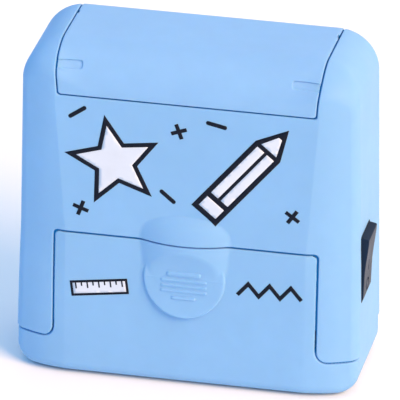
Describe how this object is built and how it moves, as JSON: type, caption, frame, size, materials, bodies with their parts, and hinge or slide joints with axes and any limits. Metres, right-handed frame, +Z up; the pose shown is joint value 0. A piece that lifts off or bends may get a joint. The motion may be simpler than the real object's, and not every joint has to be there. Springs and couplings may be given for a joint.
{
  "type": "electric pencil sharpener",
  "caption": "Upright motor-driven desktop pencil sharpener with a hinged lid over the pencil hole, a pull-out shavings tray with a thumb grip, and a side rocker switch.",
  "frame": {"origin": "on the table under the middle of the case", "axes": "+X to the right of a person facing the front, +Y to the back, +Z up"},
  "size_m": [0.0991, 0.0422, 0.0979],
  "materials": {
    "case_plastic": "fine satin moulded light blue",
    "lid_plastic": "fine satin moulded light blue",
    "deck_plastic": "satin moulded blue",
    "bin_plastic": "pale satin moulded",
    "white_plastic": "natural acetal",
    "black_plastic": "semi-gloss moulded black",
    "red_plastic": "satin",
    "plated_steel": "nickel plated",
    "sheet_steel": "zinc plated sheet",
    "brass": "turned brass",
    "magnet": "sintered ferrite",
    "winding": "laminated core with enamelled wire",
    "rubber_foot": "matte rubber"
  },
  "bodies": {
    "housing": {"upper_housing": "case_plastic", "rear_cover": "case_plastic", "rear_cover_screws": "plated_steel", "rear_feet": "rubber_foot", "top_deck": "deck_plastic", "deck_screws": "plated_steel", "pencil_funnel": "white_plastic", "motor_plate": "sheet_steel", "gearbox_cover": "sheet_steel", "gearbox_spacers": "sheet_steel", "gearbox_screws": "plated_steel", "motor_can": "plated_steel", "motor_end_cap": "white_plastic", "motor_magnets": "magnet", "motor_screws": "plated_steel", "idler_shaft": "plated_steel", "switch_body": "black_plastic", "switch_terminals": "brass", "rocker_pin": "plated_steel", "lid_hinge_pins": "plated_steel", "interlock_switch": "black_plastic", "dc_jack": "black_plastic", "dc_jack_pin": "plated_steel"},
    "lid": {"lid_flap": "lid_plastic"},
    "tray": {"tray_base": "case_plastic", "shavings_bin": "bin_plastic", "tray_feet": "rubber_foot"},
    "rocker": {"switch_rocker": "black_plastic"},
    "cutter": {"cutter_head": "brass", "head_gear": "white_plastic", "blade": "plated_steel", "blade_screw": "plated_steel"},
    "idler": {"idler_gear": "white_plastic"},
    "armature": {"motor_armature": "winding", "motor_pinion": "brass"},
    "plunger": {"interlock_plunger": "red_plastic"}
  },
  "joints": [
    {"name": "lid_hinge", "type": "hinge", "parent": "housing", "child": "lid", "pos_m": [0, 0.016, 0.0928], "axis": [-1, 0, 0], "range_deg": [0, 105]},
    {"name": "tray_slide", "type": "slide", "parent": "housing", "child": "tray", "axis": [0, -1, 0], "range_m": [0, 0.028]},
    {"name": "rocker_tilt", "type": "hinge", "parent": "housing", "child": "rocker", "pos_m": [0.0465, -0.0047, 0.0359], "axis": [0, -1, 0], "range_deg": [0, 12]},
    {"name": "cutter_spin", "type": "hinge", "parent": "housing", "child": "cutter", "pos_m": [-0.012, 0, 0.06], "axis": [0, 0, 1], "continuous": true},
    {"name": "idler_spin", "type": "hinge", "parent": "housing", "child": "idler", "pos_m": [0.0045, 0, 0.0765], "axis": [0, 0, 1], "continuous": true},
    {"name": "motor_spin", "type": "hinge", "parent": "housing", "child": "armature", "pos_m": [0.0177, 0, 0.06], "axis": [0, 0, 1], "continuous": true},
    {"name": "plunger_slide", "type": "slide", "parent": "housing", "child": "plunger", "axis": [0, -1, 0], "range_m": [0, 0.0006]}
  ],
  "couplings": [
    {"joint": "idler_spin", "follows": "cutter_spin", "ratio": -4},
    {"joint": "motor_spin", "follows": "cutter_spin", "ratio": 13.6},
    {"joint": "plunger_slide", "follows": "tray_slide", "ratio": 0.02}
  ]
}
